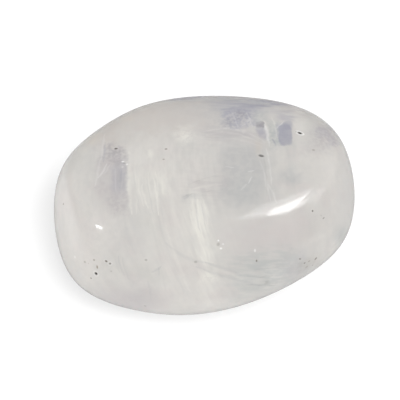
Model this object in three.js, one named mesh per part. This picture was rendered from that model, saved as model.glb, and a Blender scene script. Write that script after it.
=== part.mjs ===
// A tumbled rainbow moonstone: one polished pebble with broad worn faces and soft rims between them.
// Millimetres, +Z up. The long way of the stone is X. It rests on a small flat spot at Z = 0,
// and the origin is under the middle of its box.

import * as THREE from "three";
import { mergeVertices } from "three/addons/utils/BufferGeometryUtils.js";

// The plain pebble: how long, wide and high it is, and how far its long way is turned from +X, in degrees.
const PEBBLE = { length: 39.6, width: 31.2, height: 20, turn: 14 };

// Tumbling wore the pebble to broad faces. Each one looks along a direction and lies at a distance
// from the stone's middle: turn is the angle from +X towards +Y, tilt is the angle above the
// horizon, both in degrees, and reach is the distance in millimetres.
const WORN_FACES = {
  crown: { turn: 95, tilt: 84, reach: 9.8 },
  underside: { turn: -90, tilt: -88, reach: 9.8 },
  rightEnd: { turn: 3, tilt: 0, reach: 19.1 },
  rightCorner: { turn: -36, tilt: -20, reach: 18.1 },
  rightShoulder: { turn: -42, tilt: 34, reach: 17 },
  lowerRight: { turn: -62, tilt: -32, reach: 13.4 },
  frontShoulder: { turn: -92, tilt: 36, reach: 14.8 },
  frontSide: { turn: -92, tilt: -2, reach: 16.2 },
  frontFoot: { turn: -100, tilt: -38, reach: 14.9 },
  leftShoulder: { turn: -147, tilt: 30, reach: 19.2 },
  lowerLeft: { turn: -131, tilt: -28, reach: 19.6 },
  leftEnd: { turn: 183, tilt: -4, reach: 19.4 },
  upperLeft: { turn: 130, tilt: 24, reach: 16.1 },
  back: { turn: 89, tilt: 34, reach: 14.2 },
  backSide: { turn: 90, tilt: -4, reach: 16.2 },
  upperRight: { turn: 52, tilt: 24, reach: 18.7 },
  backFoot: { turn: 90, tilt: -40, reach: 13 },
  backRightFoot: { turn: 35, tilt: -35, reach: 16 },
  backLeftFoot: { turn: 150, tilt: -35, reach: 16 },
};

const RIM_SHARPNESS = 9; // the rims between the worn faces are tighter with a higher number
const PEBBLE_SHARE = 0.3; // how much of the plain pebble's even swell the worn faces keep
const REST_DEPTH = 0.25; // how deep the flat resting spot is worn into the underside
const MESH_DETAIL = 17; // cuts along each edge of the icosahedron that the mesh starts from
const MERGE_DISTANCE = 1e-4; // corners of the unit ball nearer than this are one corner

const POLISH = { color: 0xd2cec8, roughness: 0.12, metalness: 0 };

// The unit vector that a turn and a tilt in degrees point along.
function direction(turn, tilt) {
  const around = THREE.MathUtils.degToRad(turn);
  const above = THREE.MathUtils.degToRad(tilt);
  return new THREE.Vector3(
    Math.cos(around) * Math.cos(above),
    Math.sin(around) * Math.cos(above),
    Math.sin(above),
  );
}

const FACE_LIST = Object.values(WORN_FACES).map(({ turn, tilt, reach }) => ({
  normal: direction(turn, tilt),
  reach,
}));
const UP = new THREE.Vector3(0, 0, 1);

// How far the plain pebble, an ellipsoid, reaches along a unit vector.
function pebbleReach(along) {
  const own = along.clone().applyAxisAngle(UP, -THREE.MathUtils.degToRad(PEBBLE.turn));
  return 0.5 / Math.hypot(own.x / PEBBLE.length, own.y / PEBBLE.width, own.z / PEBBLE.height);
}

// How far the body with only flat faces and rounded rims reaches along a unit vector.
function wornReach(along) {
  let sum = 0;
  for (const { normal, reach } of FACE_LIST) {
    const nearness = Math.max(normal.dot(along), 0) / reach;
    sum += nearness ** RIM_SHARPNESS;
  }
  return sum ** (-1 / RIM_SHARPNESS);
}

// The stone's surface: an even ball of triangles, each corner moved out to the worn pebble.
function stoneGeometry() {
  const ball = new THREE.IcosahedronGeometry(1, MESH_DETAIL);
  ball.deleteAttribute("normal");
  ball.deleteAttribute("uv");
  const geometry = mergeVertices(ball, MERGE_DISTANCE);
  const position = geometry.getAttribute("position");
  const corner = new THREE.Vector3();
  for (let i = 0; i < position.count; i++) {
    corner.fromBufferAttribute(position, i).normalize();
    const reach = THREE.MathUtils.lerp(wornReach(corner), pebbleReach(corner), PEBBLE_SHARE);
    corner.multiplyScalar(reach);
    position.setXYZ(i, corner.x, corner.y, corner.z);
  }
  wearRestingSpot(geometry);
  return geometry;
}

// Flattens the lowest part of the underside, then sets the stone on Z = 0 over the origin.
function wearRestingSpot(geometry) {
  const position = geometry.getAttribute("position");
  geometry.computeBoundingBox();
  const spot = geometry.boundingBox.min.z + REST_DEPTH;
  for (let i = 0; i < position.count; i++) {
    position.setZ(i, Math.max(position.getZ(i), spot));
  }
  geometry.computeBoundingBox();
  const middle = geometry.boundingBox.getCenter(new THREE.Vector3());
  geometry.translate(-middle.x, -middle.y, -spot);
}

function makeMoonstone() {
  const geometry = stoneGeometry();
  geometry.computeVertexNormals();
  const stone = new THREE.Mesh(geometry, new THREE.MeshStandardMaterial(POLISH));
  stone.name = "moonstone";
  return stone;
}

const part = new THREE.Group();
part.add(makeMoonstone());

export default part;
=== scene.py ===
"""A tumbled rainbow moonstone on a white table: the polished stone with its marks, the lights and the camera."""

import math
from collections import namedtuple

import bmesh
import bpy
import numpy as np
from mathutils import Matrix, Vector, noise
from mathutils.bvhtree import BVHTree


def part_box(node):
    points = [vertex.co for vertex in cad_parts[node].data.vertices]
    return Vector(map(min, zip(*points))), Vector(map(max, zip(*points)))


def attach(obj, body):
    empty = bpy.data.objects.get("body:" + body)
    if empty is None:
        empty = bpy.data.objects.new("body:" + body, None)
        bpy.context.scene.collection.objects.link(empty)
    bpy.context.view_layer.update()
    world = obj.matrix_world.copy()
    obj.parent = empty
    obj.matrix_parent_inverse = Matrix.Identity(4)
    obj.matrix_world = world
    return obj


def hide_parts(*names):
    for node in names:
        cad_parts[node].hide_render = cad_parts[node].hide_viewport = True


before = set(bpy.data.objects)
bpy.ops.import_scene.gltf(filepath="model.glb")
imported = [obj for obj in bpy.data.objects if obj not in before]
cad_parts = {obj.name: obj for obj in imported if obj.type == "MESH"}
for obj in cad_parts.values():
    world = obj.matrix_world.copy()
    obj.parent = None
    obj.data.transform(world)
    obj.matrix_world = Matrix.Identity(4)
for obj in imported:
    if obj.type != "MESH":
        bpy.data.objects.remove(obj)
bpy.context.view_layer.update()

bl_info = {
    "name": "Rainbow Moonstone",
    "version": (1, 0, 0),
    "blender": (4, 5, 0),
    "location": "View3D > Sidebar > Moonstone",
    "description": "Builds a tumbled rainbow moonstone and a white table to show it on",
    "category": "Add Mesh",
}

# Names and units
NODE = "moonstone"
BODY = "root"
STONE = "polished_moonstone"
MM = 0.001
LOW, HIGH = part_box(NODE)
MIDDLE = (LOW + HIGH) / 2

# The photograph's view: how big a pixel is at the stone's middle, and where that middle falls in the picture.
PICTURE_SIDE = 400
PIXEL = 38 / 300 * MM
VIEW_ELEVATION = math.radians(55)
LENS_MM = 200
SENSOR_MM = 36
MIDDLE_PIXEL = (204.6, 203.7)
VIEW_DISTANCE = PICTURE_SIDE * PIXEL * LENS_MM / SENSOR_MM
RIGHT = Vector((1, 0, 0))
UPWARD = Vector((0, math.sin(VIEW_ELEVATION), math.cos(VIEW_ELEVATION)))
TOWARD = Vector((0, -math.cos(VIEW_ELEVATION), math.sin(VIEW_ELEVATION)))

# The broad faces that tumbling wore: turn from +X towards +Y and tilt above the horizon in degrees, reach in mm.
Face = namedtuple("Face", "turn tilt reach")
WORN_FACES = {
    "crown": Face(95, 84, 9.8),
    "underside": Face(-90, -88, 9.8),
    "right end": Face(3, 0, 19.1),
    "right corner": Face(-36, -20, 18.1),
    "right shoulder": Face(-42, 34, 17),
    "lower right": Face(-62, -32, 13.4),
    "front shoulder": Face(-92, 36, 14.8),
    "front side": Face(-92, -2, 16.2),
    "front foot": Face(-100, -38, 14.9),
    "left shoulder": Face(-147, 30, 19.2),
    "lower left": Face(-131, -28, 19.6),
    "left end": Face(183, -4, 19.4),
    "upper left": Face(130, 24, 16.1),
    "back": Face(89, 34, 14.2),
    "back side": Face(90, -4, 16.2),
    "upper right": Face(52, 24, 18.7),
    "back foot": Face(90, -40, 13),
    "back right foot": Face(35, -35, 16),
    "back left foot": Face(150, -35, 16),
}
PEBBLE_TURN = 14
BALL_SPLITS = 7

# The fibres inside hang straight down from this height above the middle, in mm, and bow more the lower they are.
FIBRE_TOP = 6.5
FIBRE_BOW = 0.015

# A place on a side that the picture doesn't show: where the stone's surface looks along a turn and a tilt.
Toward = namedtuple("Toward", "turn tilt")

# Soft tinted zones inside the stone, and a few on its surface that are painted light: painted shade along the
# lower rim and a painted reflection of the table along the left limb and over the belly. Each is a slanting block
# around a point under a pixel of the picture, or under a point that looks along a turn and a tilt. Half sizes are
# in mm across, up and into the picture, lean is in degrees to the right, fade says towards which side the tint
# thins out, and grain is what breaks it up.
Zone = namedtuple("Zone", "place half lean soft ragged fade tint strength grain")
FLAT, MOTTLE, CELLS, FIBRE, BANDS, VEINS = range(6)
NO_FADE = (0, 0)
ZONES = {
    "warm top": Zone((165, 116), (6.5, 2.2, 9), -8, 0.8, 0.8, NO_FADE, "warm", 0.6, FLAT),
    "dim top": Zone((222, 104), (5.5, 1.8, 6), 0, 0.8, 0.5, NO_FADE, "grey", 0.42, MOTTLE),
    "top lens haze": Zone((254, 105.5), (4.6, 1.0, 5), -3, 0.7, 0.3, NO_FADE, "blue", 0.3, BANDS),
    "rosy right": Zone((316, 222), (4.6, 3.6, 7), 0, 0.9, 0.6, NO_FADE, "rosy", 0.2, FLAT),
    "rosy middle": Zone((268, 236), (4.2, 2.0, 6), -8, 0.8, 0.6, NO_FADE, "rosy", 0.7, FLAT),
    "light right": Zone((316, 176), (2.8, 3.0, 6), 0, 0.9, 0.6, NO_FADE, "light", 0.3, FLAT),
    "right limb haze": Zone((347, 182), (1.2, 5.0, 6), 4, 0.9, 0.4, NO_FADE, "grey", 0.22, FLAT),
    "light middle": Zone((178, 170), (4.8, 3.0, 6), 4, 0.9, 0.6, NO_FADE, "light", 0.45, FIBRE),
    # Painted reflection of the table: the lighter band along the left limb.
    "painted limb reflection": Zone((72, 226), (1.6, 4.6, 6), -14, 0.9, 0.3, NO_FADE, "light", 0.5, FLAT),
    # Lighter stone, with a painted reflection of the table over the broad left face.
    "belly with painted reflection": Zone((95, 236), (2.3, 4.8, 6), -6, 0.9, 0.5, NO_FADE, "light", 0.42, MOTTLE),
    # Painted shade: the darker rim where the stone's underside meets the table.
    "painted rim shade": Zone((130, 303), (3.6, 1.7, 5), 6, 0.8, 0.3, NO_FADE, "violet", 0.7, FLAT),
    "centre low haze": Zone((228, 226), (4.4, 2.6, 6), 0, 0.9, 0.6, NO_FADE, "grey", 0.14, MOTTLE),
    "upper mid haze": Zone((206, 140), (3.4, 2.0, 5), 0, 0.9, 0.6, NO_FADE, "grey", 0.18, BANDS),
    "light foot": Zone((170, 274), (1.4, 2.4, 6), -18, 0.9, 0.5, NO_FADE, "light", 0.35, FIBRE),
    "dim foot": Zone((143, 290), (1.9, 1.7, 5), 0, 0.9, 0.5, NO_FADE, "grey", 0.24, FIBRE),
    "dim belly": Zone((130, 226), (1.8, 3.0, 5), 0, 0.9, 0.5, NO_FADE, "grey", 0.36, FIBRE),
    "cream middle": Zone((178, 215), (5.2, 8.0, 8), -6, 0.9, 1.0, NO_FADE, "cream", 0.2, FIBRE),
    "top lens": Zone((264, 103.4), (3.6, 0.6, 5), -5, 0.5, 0.2, NO_FADE, "deep", 0.6, BANDS),
    "top lens end": Zone((232, 103), (2.6, 0.9, 5), 3, 0.8, 0.4, NO_FADE, "blue", 0.55, BANDS),
    "top window haze": Zone((228, 118), (2.6, 1.7, 5), 0, 0.8, 0.6, (-0.3, 0), "grey", 0.55, CELLS),
    "top window": Zone((240.5, 117.6), (2.15, 1.3, 5), 0, 0.4, 0.4, NO_FADE, "blue", 0.9, CELLS),
    "top window left spot": Zone((229, 121), (0.6, 0.45, 4), 0, 0.9, 0.4, NO_FADE, "smoke", 0.35, CELLS),
    "top window spot": Zone((242, 115.5), (0.75, 0.45, 4), 0, 0.9, 0.4, NO_FADE, "smoke", 0.4, CELLS),
    "window gap": Zone((261, 115.6), (0.85, 0.7, 4), 0, 0.8, 0.4, NO_FADE, "green", 0.6, CELLS),
    "window tongue": Zone((261, 131), (0.5, 1.1, 5), -14, 0.45, 0.2, (0, 0.3), "blue", 0.95, MOTTLE),
    "window tongue top": Zone((260.2, 124.8), (0.56, 0.44, 5), 0, 0.2, 0.16, NO_FADE, "smoke", 0.72, MOTTLE),
    "window bridge": Zone((274.2, 134), (0.75, 1.6, 4), -6, 0.6, 0.5, NO_FADE, "green", 0.85, CELLS),
    "right window": Zone((285.3, 134.6), (0.84, 1.36, 5), -1, 0.15, 0.16, NO_FADE, "deep", 0.76, FLAT),
    "right window head": Zone((288, 125), (0.6, 0.56, 5), -14, 0.3, 0.14, NO_FADE, "deep", 0.5, FLAT),
    "right window core": Zone((283.4, 132), (0.55, 1.0, 5), 0, 0.9, 0.3, NO_FADE, "deep", 0.35, CELLS),
    "right window side": Zone((278, 130), (0.4, 0.75, 4), 0, 0.6, 0.3, NO_FADE, "blue", 0.6, MOTTLE),
    "right window haze": Zone((286, 116), (1.0, 0.7, 4), 0, 0.6, 0.3, NO_FADE, "blue", 0.55, BANDS),
    "right window glow": Zone((299, 122), (0.55, 1.5, 4), 0, 0.9, 0.3, NO_FADE, "cream", 0.22, FLAT),
    "upper right haze": Zone((293, 112), (2.2, 0.7, 5), 14, 0.8, 0.3, NO_FADE, "violet", 0.5, BANDS),
    "far window": Zone((324, 132), (0.85, 0.55, 4), -8, 0.7, 0.4, NO_FADE, "blue", 0.9, CELLS),
    "far window low": Zone((332.4, 140.6), (0.6, 0.55, 4), -20, 0.8, 0.4, NO_FADE, "blue", 0.8, CELLS),
    "far window haze": Zone((325, 136), (1.7, 1.5, 4), -25, 0.7, 0.5, NO_FADE, "violet", 0.8, CELLS),
    "far specks": Zone((308, 149), (0.9, 0.7, 4), 0, 0.9, 0.5, NO_FADE, "violet", 0.35, VEINS),
    "left window": Zone((119.2, 176), (1.0, 2.15, 5), 0, 0.3, 0.35, NO_FADE, "blue", 0.55, MOTTLE),
    "left window strands": Zone((120.6, 177), (0.75, 2.0, 5), 0, 0.5, 0.3, (-0.2, 0), "smoke", 0.36, FIBRE),
    "left window head": Zone((113, 153), (1.35, 1.15, 5), 0, 0.8, 0.8, NO_FADE, "violet", 0.8, CELLS),
    "left window smoke": Zone((113.6, 153.6), (1.1, 0.9, 5), 0, 0.9, 0.8, NO_FADE, "smoke", 0.42, CELLS),
    "left window foot": Zone((118, 202), (1.1, 1.35, 5), 0, 0.6, 0.5, NO_FADE, "violet", 0.75, CELLS),
    "left window side": Zone((106, 182), (1.0, 2.7, 5), 6, 0.9, 0.6, NO_FADE, "violet", 0.68, MOTTLE),
    "left grey": Zone((93, 168), (1.2, 3.0, 5), 12, 0.9, 0.6, NO_FADE, "grey", 0.2, FIBRE),
    "upper left grey": Zone((108, 134), (1.1, 1.5, 4), 8, 0.8, 0.5, NO_FADE, "warm", 0.6, MOTTLE),
    "centre grey": Zone((242, 175), (2.55, 3.7, 6), 0, 0.45, 0.5, NO_FADE, "grey", 0.62, MOTTLE),
    "centre grey foot": Zone((238, 192), (1.9, 1.6, 6), -8, 0.9, 0.7, NO_FADE, "green", 0.3, FLAT),
    "centre grey top": Zone((241, 154), (2.4, 1.4, 6), 0, 0.8, 0.4, NO_FADE, "grey", 0.25, BANDS),
    "centre grey side": Zone((266, 176), (1.2, 3.2, 6), 0, 0.8, 0.4, NO_FADE, "grey", 0.3, FIBRE),
    "violet lines": Zone((233, 135), (3.4, 0.75, 4), 4, 0.6, 0.3, NO_FADE, "violet", 0.6, BANDS),
    "striped middle": Zone((205, 186), (2.6, 1.9, 5), -4, 0.8, 0.4, NO_FADE, "violet", 0.4, BANDS),
    "amber corner": Zone((258, 147), (0.4, 1.0, 3), 0, 0.9, 0.2, NO_FADE, "peach", 0.25, FLAT),
    "small grey": Zone((289, 178), (1.2, 0.7, 4), -5, 0.9, 0.6, NO_FADE, "grey", 0.55, MOTTLE),
    "green upright": Zone((291, 164), (0.55, 2.6, 4), 0, 0.8, 0.25, NO_FADE, "green", 0.32, FIBRE),
    "middle wisp": Zone((192, 196.5), (0.95, 0.35, 4), -14, 0.7, 0.3, NO_FADE, "grey", 0.6, BANDS),
    "low grey": Zone((264, 272), (4.0, 2.5, 6), -12, 0.7, 0.5, NO_FADE, "green", 0.66, BANDS),
    "low grey tail": Zone((296, 266), (1.9, 1.4, 6), -25, 0.9, 0.5, NO_FADE, "grey", 0.6, MOTTLE),
    "low blotch": Zone((267, 282), (0.3, 0.25, 4), 0, 0.8, 0.15, NO_FADE, "dark", 0.22, MOTTLE),
    "right limb grey": Zone((342, 235), (0.9, 0.9, 4), 30, 0.9, 0.3, NO_FADE, "green", 0.6, FLAT),
    "peach spot": Zone((93, 139), (0.8, 0.5, 4), -30, 0.9, 0.3, NO_FADE, "peach", 0.3, FLAT),
    "peach spot two": Zone((126, 119), (0.7, 0.35, 4), -20, 0.9, 0.2, NO_FADE, "peach", 0.2, FLAT),
    "cream patch": Zone((184, 135.5), (0.95, 0.8, 4), 0, 0.9, 0.4, NO_FADE, "cream", 0.6, VEINS),
    "cream dot": Zone((150.5, 153.5), (0.28, 0.4, 3), 0, 0.9, 0.1, NO_FADE, "cream", 0.6, FLAT),
    "cream fibres high": Zone((161, 184), (0.9, 1.5, 4), -12, 0.9, 0.3, NO_FADE, "cream", 0.4, FIBRE),
    "cream fibres left": Zone((141, 190), (1.5, 3.4, 4), -10, 0.9, 0.4, NO_FADE, "cream", 0.22, FIBRE),
    "main streak": Zone((199.6, 221), (0.85, 2.9, 5), -10, 0.6, 0.3, NO_FADE, "cream", 0.6, FIBRE),
    "main streak haze": Zone((201, 228), (1.4, 4.2, 5), -10, 0.9, 0.5, NO_FADE, "cream", 0.24, FIBRE),
    "main streak end": Zone((206, 256), (0.8, 1.0, 4), -30, 0.7, 0.25, NO_FADE, "cream", 0.75, FIBRE),
    "low cream": Zone((208.5, 276), (0.9, 0.6, 4), 0, 0.9, 0.3, NO_FADE, "cream", 0.62, VEINS),
    "low cream haze": Zone((209, 294), (1.1, 2.2, 4), 0, 0.9, 0.4, NO_FADE, "cream", 0.24, FIBRE),
    "brown corner": Zone((309, 263), (1.1, 0.6, 3), -30, 0.9, 0.3, NO_FADE, "brown", 0.16, MOTTLE),
    "back window": Zone(Toward(100, 22), (2.2, 1.8, 2.6), 20, 0.4, 0.5, NO_FADE, "blue", 0.7, VEINS),
    "back window twin": Zone(Toward(78, 14), (0.9, 1.6, 2.2), 0, 0.35, 0.3, NO_FADE, "blue", 0.65, MOTTLE),
    "back cream": Zone(Toward(62, 4), (1.3, 3.0, 3.2), 12, 0.7, 0.5, NO_FADE, "cream", 0.75, FIBRE),
    "back cream haze": Zone(Toward(125, -14), (2.6, 3.0, 3.0), -12, 0.9, 0.8, NO_FADE, "cream", 0.4, FIBRE),
    "back grey": Zone(Toward(40, -18), (2.6, 2.6, 2.6), 0, 0.7, 0.6, NO_FADE, "green", 0.6, BANDS),
    "back left grey": Zone(Toward(150, 4), (2.4, 2.2, 3.0), 0, 0.8, 0.6, NO_FADE, "grey", 0.5, MOTTLE),
    "front foot grey": Zone(Toward(-75, -30), (2.6, 1.6, 2.4), -8, 0.7, 0.5, NO_FADE, "grey", 0.5, BANDS),
    "front foot cream": Zone(Toward(-115, -24), (1.4, 2.4, 2.6), 12, 0.8, 0.5, NO_FADE, "cream", 0.6, FIBRE),
    "right end grey": Zone(Toward(2, -8), (2.4, 2.0, 2.2), 0, 0.8, 0.5, NO_FADE, "violet", 0.5, MOTTLE),
    "left end cream": Zone(Toward(178, -20), (2.0, 2.4, 2.4), 0, 0.8, 0.5, NO_FADE, "cream", 0.4, FIBRE),
    "underside grey": Zone(Toward(20, -72), (3.2, 2.2, 2.6), 10, 0.7, 0.6, NO_FADE, "blue", 0.5, VEINS),
    "underside cream": Zone(Toward(170, -64), (1.6, 3.4, 3.4), 8, 0.8, 0.6, NO_FADE, "cream", 0.6, FIBRE),
}

# Thin curved lines where a crack, a fibre or a cleavage face catches or loses the light. Width and bend are in
# mm: a positive bend bows the line to the left of the way from its start to its end.
Line = namedtuple("Line", "start end bend width tint strength")
LINES = {
    "tall feather": Line((264.2, 121), (269.4, 146), 0.1, 0.28, "white", 0.32),
    "tall feather twin": Line((264.6, 124), (267.6, 141), 0, 0.22, "white", 0.28),
    "tall feather foot": Line((266.4, 149), (271.4, 184), 0.12, 0.24, "white", 0.22),
    "tall feather root": Line((268, 184), (276.5, 202), 0.1, 0.21, "white", 0.21),
    "side feather": Line((264, 172), (270.8, 201), 0, 0.21, "white", 0.18),
    "side feather high": Line((260, 160), (266, 186), 0.1, 0.18, "white", 0.15),
    "feather shade": Line((262.8, 150), (267.2, 196), 0.1, 0.2, "dark", 0.08),
    "bridge shade": Line((272.6, 139), (276, 145.8), 0, 0.2, "deep", 0.75),
    "bridge streak": Line((272, 117), (276.5, 136), 0.1, 0.2, "cream", 0.35),
    "window left edge": Line((276.5, 128), (284.5, 121), 0, 0.14, "white", 0.28),
    "top dark edge": Line((222, 109.6), (279, 104.4), 0.1, 0.45, "deep", 0.4),
    "top dark edge low": Line((224, 112), (250, 110), 0, 0.36, "deep", 0.26),
    "fan high": Line((204, 131.5), (265, 142.5), 1.0, 0.25, "white", 0.17),
    "fan middle": Line((206, 135), (264, 145), 0.8, 0.22, "white", 0.11),
    "fan low": Line((218, 139), (262, 147), 0.35, 0.22, "white", 0.09),
    "fan shade": Line((205, 133.2), (262, 143.5), 0.9, 0.23, "grey", 0.27),
    "fan shade low": Line((214, 137.4), (250, 140), 0.3, 0.3, "grey", 0.27),
    "window vein one": Line((231, 111), (238, 128), 0.12, 0.19, "white", 0.15),
    "window vein two": Line((240, 127), (252, 117), -0.15, 0.19, "white", 0.15),
    "window vein three": Line((246, 112), (252, 128), 0.15, 0.19, "white", 0.13),
    "centre fleck one": Line((226, 166.5), (234, 168), 0, 0.14, "white", 0.22),
    "centre fleck two": Line((248, 172), (254, 171), 0, 0.16, "white", 0.3),
    "centre fleck three": Line((248.5, 183), (252, 177), 0, 0.14, "white", 0.4),
    "centre fleck four": Line((241, 190), (247, 184), 0, 0.16, "white", 0.26),
    "left edge high": Line((105, 134), (101.5, 160), -0.1, 0.23, "white", 0.2),
    "left edge low": Line((101.5, 158), (95.4, 186), -0.1, 0.26, "white", 0.2),
    "left feather": Line((106.8, 164), (97.4, 178), 0.1, 0.22, "white", 0.32),
    "left feather twin": Line((110.2, 163.6), (103.4, 174), 0.1, 0.18, "white", 0.18),
    "left dark edge": Line((105.4, 142), (103.4, 162), 0, 0.24, "deep", 0.35),
    "left core one": Line((121, 168), (119.6, 193), 0.05, 0.17, "deep", 0.27),
    "left core two": Line((124.6, 172), (122.4, 188), 0.05, 0.14, "deep", 0.21),
    "left core light": Line((115.4, 168), (115.8, 192), 0, 0.18, "white", 0.12),
    "window side": Line((129.4, 152), (131.6, 214), -0.15, 0.42, "cream", 0.35),
    "fibre one": Line((134.4, 162), (136.6, 214), 0.1, 0.19, "cream", 0.24),
    "fibre two": Line((137.6, 176), (144, 206), -0.15, 0.19, "cream", 0.33),
    "fibre three": Line((142, 184), (148.4, 208), -0.15, 0.26, "cream", 0.51),
    "fibre four": Line((148, 172), (152, 200), -0.1, 0.19, "cream", 0.24),
    "fibre five": Line((153, 178), (158.4, 215), 0.12, 0.24, "cream", 0.57),
    "fibre six": Line((155.6, 172), (157.6, 196), 0.1, 0.22, "cream", 0.36),
    "fibre seven": Line((161.6, 180), (163.4, 194), 0, 0.26, "cream", 0.36),
    "fibre shade one": Line((133, 168), (140.4, 212), -0.1, 0.18, "grey", 0.19),
    "fibre shade two": Line((146.6, 178), (153.4, 214), 0, 0.21, "grey", 0.24),
    "fibre shade three": Line((160, 196), (163, 220), 0, 0.21, "grey", 0.17),
    "long fibre one": Line((158, 216), (184, 292), -0.2, 0.45, "grey", 0.17),
    "long fibre two": Line((163, 216), (189, 290), -0.2, 0.36, "cream", 0.15),
    "long fibre three": Line((150, 214), (166, 292), 0.1, 0.3, "grey", 0.1),
    "long fibre four": Line((173, 208), (196, 262), -0.2, 0.3, "cream", 0.15),
    "long fibre five": Line((180, 206), (201, 256), -0.2, 0.24, "grey", 0.11),
    "streak one": Line((192, 201), (198.6, 237), -0.1, 0.31, "cream", 0.5),
    "streak two": Line((197.4, 199), (202.4, 236), -0.12, 0.29, "cream", 0.5),
    "streak three": Line((203.6, 200), (208, 224), 0, 0.26, "cream", 0.41),
    "streak four": Line((189.6, 210), (195, 234), 0, 0.21, "cream", 0.28),
    "streak five": Line((203, 236), (209.4, 260), 0.15, 0.34, "cream", 0.41),
    "streak six": Line((199.6, 240), (206, 259), 0.1, 0.21, "cream", 0.28),
    "streak foot": Line((202, 259.4), (213.6, 262), -0.1, 0.18, "cream", 0.28),
    "streak shade one": Line((195.4, 204), (201, 234), -0.1, 0.16, "grey", 0.3),
    "streak shade two": Line((201.2, 204), (206, 230), 0, 0.16, "grey", 0.24),
    "middle stroke one": Line((182, 197.5), (197, 193.5), 0.1, 0.16, "dark", 0.1),
    "middle stroke two": Line((196, 194.6), (223, 189.6), 0.1, 0.12, "dark", 0.1),
    "middle stroke three": Line((188, 184.6), (224, 175.4), 0.2, 0.12, "dark", 0.09),
    "middle stroke four": Line((184, 199.4), (192, 194.4), 0, 0.14, "dark", 0.09),
    "middle light": Line((193, 188.6), (222, 184.4), 0.1, 0.28, "cream", 0.24),
    "crease high": Line((166, 243), (206, 262.6), -0.5, 0.39, "grey", 0.27),
    "crease high end": Line((206, 262.6), (241, 275), 0.1, 0.33, "grey", 0.36),
    "crease low": Line((196, 267), (262, 286), -0.1, 0.33, "grey", 0.36),
    "crease light": Line((206, 265.4), (242, 279), 0.1, 0.3, "cream", 0.16),
    "low wave": Line((247, 276.4), (273, 275.6), -0.12, 0.22, "dark", 0.14),
    "low wave twin": Line((245, 285), (273, 285.4), 0.08, 0.18, "dark", 0.12),
    "low wave high": Line((254, 269.6), (292, 265.4), 0, 0.22, "dark", 0.07),
    "low left one": Line((118.4, 256), (124, 275), -0.12, 0.28, "grey", 0.35),
    "low left two": Line((122.6, 258), (129.4, 280), -0.12, 0.25, "grey", 0.28),
    "low left three": Line((115.6, 260), (119, 272), 0, 0.22, "grey", 0.24),
    "low tick": Line((152, 272), (161, 266.4), -0.08, 0.25, "grey", 0.42),
    "low tick twin": Line((158.6, 267.4), (159.4, 276), 0, 0.22, "grey", 0.35),
    "foot stroke": Line((147.4, 281), (151, 299), 0.08, 0.28, "grey", 0.24),
    "right stroke": Line((292, 252), (324, 236), 0.25, 0.9, "cream", 0.12),
    "back feather": Line(Toward(88, 30), Toward(92, 2), 0.3, 0.2, "white", 0.6),
    "back feather twin": Line(Toward(84, 26), Toward(87, 8), 0.2, 0.16, "white", 0.4),
    "back crease": Line(Toward(115, 10), Toward(60, -14), 0.8, 0.3, "grey", 0.5),
    "back fibre": Line(Toward(66, 20), Toward(58, -10), 0.4, 0.24, "cream", 0.7),
    "back fibre twin": Line(Toward(61, 16), Toward(54, -8), 0.4, 0.18, "cream", 0.5),
    "left end line": Line(Toward(170, 16), Toward(186, -22), 0.3, 0.22, "cream", 0.4),
    "right end line": Line(Toward(-12, 10), Toward(8, -24), 0.3, 0.22, "grey", 0.4),
    "front line": Line(Toward(-60, -12), Toward(-100, -30), 0.3, 0.24, "cream", 0.4),
    "underside line": Line(Toward(-30, -60), Toward(150, -66), 0.6, 0.3, "cream", 0.4),
}
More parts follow.
